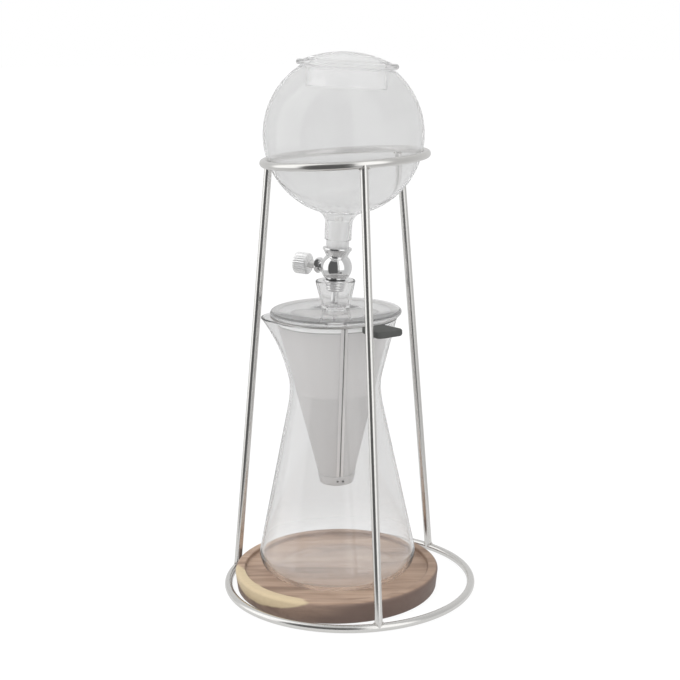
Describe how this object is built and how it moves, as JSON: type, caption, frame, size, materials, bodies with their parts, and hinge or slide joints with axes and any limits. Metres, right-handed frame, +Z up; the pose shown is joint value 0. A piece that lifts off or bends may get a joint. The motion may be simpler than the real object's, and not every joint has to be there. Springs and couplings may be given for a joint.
{
  "type": "cold drip coffee tower",
  "caption": "Tabletop cold drip coffee tower: a glass globe in a wire stand drips through a needle valve into a cone filter in a waisted glass carafe on a wooden coaster.",
  "frame": {"origin": "centre of the wire base ring on the table, under the middle of the top ring", "axes": "+Z up; -Y is the front; +X is to the right seen from the front, and the spout points along -X"},
  "size_m": [0.198, 0.198, 0.4144],
  "materials": {
    "stand_wire": "polished stainless round wire",
    "coaster_wood": "oiled acacia, turned",
    "carafe_glass": "clear blown borosilicate glass",
    "filter_mesh": "fine stainless mesh",
    "filter_steel": "satin stainless sheet",
    "grip_silicone": "matt dark grey silicone",
    "lid_glass": "clear pressed glass",
    "globe_glass": "clear blown borosilicate glass",
    "stopper_silicone": "translucent silicone",
    "valve_chrome": "bright chrome on brass",
    "valve_steel": "turned stainless",
    "valve_brass": "turned brass",
    "seal_rubber": "black rubber"
  },
  "bodies": {
    "stand": {"base_ring": "stand_wire", "top_ring": "stand_wire", "leg_front": "stand_wire", "leg_right": "stand_wire", "leg_left": "stand_wire", "coaster": "coaster_wood"},
    "carafe_unit": {"carafe": "carafe_glass"},
    "filter_unit": {"filter_cone": "filter_mesh", "filter_rim": "filter_steel", "filter_base_cap": "filter_steel", "filter_seam": "filter_steel", "handle_bracket": "filter_steel", "handle_grip": "grip_silicone"},
    "lid_unit": {"carafe_lid": "lid_glass", "drip_funnel": "lid_glass"},
    "globe_unit": {"globe": "globe_glass", "neck_stopper": "stopper_silicone", "inlet_tube": "valve_steel", "valve_collar": "valve_chrome", "valve_body": "valve_chrome", "valve_seat": "valve_brass", "stem_packing": "seal_rubber", "gland_nut": "valve_chrome", "outlet_washer": "seal_rubber", "outlet_spigot": "valve_chrome", "drip_nozzle": "valve_chrome"},
    "globe_lid_unit": {"globe_lid": "globe_glass"},
    "needle_unit": {"needle": "valve_steel"},
    "knob_unit": {"valve_stem": "valve_steel", "knob": "valve_chrome"}
  },
  "joints": [
    {"name": "globe_lift", "type": "slide", "parent": "stand", "child": "globe_unit", "axis": [0, 0, 1], "range_m": [0, 0.25]},
    {"name": "lid_lift", "type": "slide", "parent": "stand", "child": "lid_unit", "axis": [0.037, 0.014, 0.9992], "range_m": [0, 0.2004]},
    {"name": "carafe_out", "type": "slide", "parent": "stand", "child": "carafe_unit", "axis": [0.0245, 0.9803, 0.1961], "range_m": [0, 0.2552]},
    {"name": "filter_lift", "type": "slide", "parent": "carafe_unit", "child": "filter_unit", "axis": [0, 0, 1], "range_m": [0, 0.1375]},
    {"name": "globe_lid_lift", "type": "slide", "parent": "globe_unit", "child": "globe_lid_unit", "axis": [0.0671, 0.018, 0.9976], "range_m": [0, 0.06]},
    {"name": "knob_turn", "type": "hinge", "parent": "needle_unit", "child": "knob_unit", "pos_m": [-0.03285, 0.01005, 0.25607], "axis": [-0.9045, 0.4231, 0.0532], "range_deg": [0, 720]},
    {"name": "needle_travel", "type": "slide", "parent": "globe_unit", "child": "needle_unit", "axis": [-0.9045, 0.4231, 0.0532], "range_m": [0, 0.002]}
  ],
  "couplings": [
    {"joint": "lid_lift", "follows": "globe_lift", "ratio": 0.80063},
    {"joint": "carafe_out", "follows": "globe_lift", "ratio": 1.0201},
    {"joint": "filter_lift", "follows": "globe_lift", "ratio": 0.55},
    {"joint": "knob_turn", "follows": "needle_travel", "rad_per_m": 6283}
  ]
}
